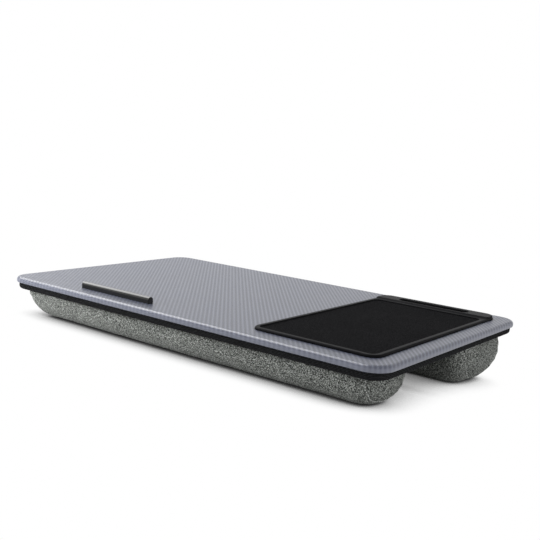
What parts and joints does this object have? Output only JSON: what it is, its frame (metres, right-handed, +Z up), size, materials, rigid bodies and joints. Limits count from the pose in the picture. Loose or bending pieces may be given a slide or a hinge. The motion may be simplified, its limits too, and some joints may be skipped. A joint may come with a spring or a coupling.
{
  "type": "lap desk",
  "caption": "Lap desk with a mouse mat and phone trough set in one end, a raised front stop bar, and two unequal bolster cushions that slope its deck.",
  "frame": {"origin": "on the ground, under the middle of the desk's outline", "axes": "+X along the long side towards the mouse tray, -Y towards the person, +Z up; the deck slopes 5 degrees down towards -Y"},
  "size_m": [0.536, 0.304, 0.074],
  "materials": {
    "carbon_film": "satin silver-grey film with a fine diagonal carbon-twill print",
    "fibreboard": "raw pressed fibreboard",
    "charcoal_cloth": "charcoal open-weave cloth",
    "panel_board": "raw thin fibreboard",
    "moulded_black": "smooth black moulded plastic, half gloss",
    "mat_black": "fine-grained black mat cloth",
    "ledge_black": "polished black plastic",
    "bolster_cloth": "heathered grey woven cloth"
  },
  "bodies": {
    "root": {"carbon_film": "carbon_film", "board_core": "fibreboard", "base_pad": "charcoal_cloth", "stiff_panel": "panel_board", "mouse_tray": "moulded_black", "mouse_mat": "mat_black", "device_ledge": "ledge_black", "front_bolster": "bolster_cloth", "rear_bolster": "bolster_cloth"}
  },
  "joints": []
}
